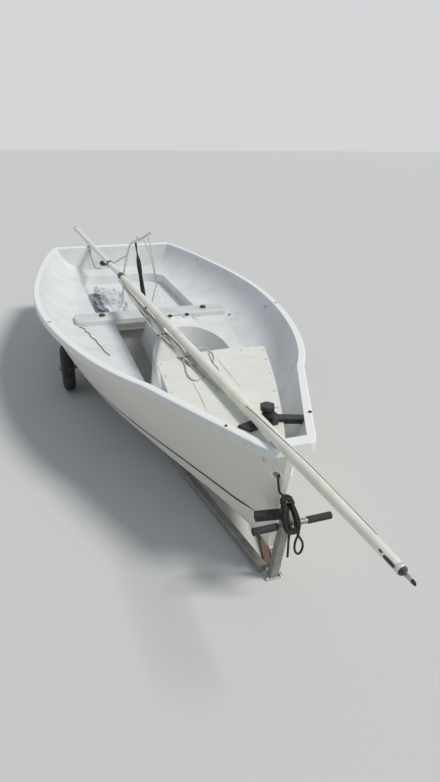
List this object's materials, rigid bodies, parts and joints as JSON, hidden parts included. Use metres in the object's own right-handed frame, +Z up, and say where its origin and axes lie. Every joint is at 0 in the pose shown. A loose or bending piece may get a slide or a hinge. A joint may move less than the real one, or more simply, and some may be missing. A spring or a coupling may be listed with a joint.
{
  "type": "sailing dinghy on launching trolley",
  "caption": "Open white sailing dinghy with a moulded cockpit and thwart, its two-piece mast lying along the deck, parked on a two-wheeled launching trolley.",
  "frame": {"origin": "on the floor at the centre of the whole model's box, under the boat's centre plane", "axes": "+X to port, +Y aft along the boat, +Z up; the bow looks along -Y"},
  "size_m": [1.8124, 6.5188, 1.1367],
  "materials": {
    "black_fitting": "matte black",
    "black_rope": "braided black",
    "black_rubber": "matte black",
    "galvanised": "weathered galvanised",
    "mast_alloy": "dull anodised",
    "sail_cloth": "crumpled white cloth",
    "stainless": "satin",
    "stay_wire": "dull wire",
    "tyre_rubber": "dusty black",
    "wheel_rim": "grey moulded",
    "white_hull": "satin white moulded plastic, scuffed"
  },
  "bodies": {
    "root": {"axle": "galvanised", "axle_cap_port": "galvanised", "axle_cap_starboard": "galvanised", "bow_bar": "black_fitting", "bunk_bracket_port": "galvanised", "bunk_bracket_starboard": "galvanised", "bunk_port": "black_rubber", "bunk_starboard": "black_rubber", "console": "white_hull", "console_knobs": "black_fitting", "foredeck_core": "white_hull", "foredeck_panel": "white_hull", "furler_drum": "black_fitting", "grip_port": "black_rubber", "grip_starboard": "black_rubber", "gudgeon_lower": "stainless", "gudgeon_upper": "stainless", "hull": "white_hull", "keel_rest": "galvanised", "mast_collar": "black_fitting", "mast_heel": "black_fitting", "mast_lower_section": "mast_alloy", "mast_ring": "black_fitting", "mast_top_section": "mast_alloy", "masthead": "mast_alloy", "painter": "black_rope", "painter_bundle": "black_rope", "painter_loop": "black_rope", "painter_tail": "black_rope", "sail_bundle": "sail_cloth", "shroud_plates": "black_fitting", "snubber_port": "black_rubber", "snubber_starboard": "black_rubber", "spreader_lower": "mast_alloy", "spreader_upper": "mast_alloy", "stay_bundle": "stay_wire", "thwart": "white_hull", "thwart_fittings": "black_fitting", "trolley_arm_port": "galvanised", "trolley_arm_starboard": "galvanised", "trolley_foot": "galvanised", "trolley_handle": "galvanised", "trolley_post": "galvanised"},
    "wheel_starboard": {"wheel_rim_starboard": "wheel_rim", "wheel_tyre_starboard": "tyre_rubber"},
    "wheel_port": {"wheel_rim_port": "wheel_rim", "wheel_tyre_port": "tyre_rubber"}
  },
  "joints": [
    {"name": "wheel_starboard_spin", "type": "hinge", "parent": "root", "child": "wheel_starboard", "pos_m": [-0.72, 0.04, 0.185], "axis": [1, 0, 0], "continuous": true},
    {"name": "wheel_port_spin", "type": "hinge", "parent": "root", "child": "wheel_port", "pos_m": [0.72, 0.04, 0.185], "axis": [1, 0, 0], "continuous": true}
  ]
}
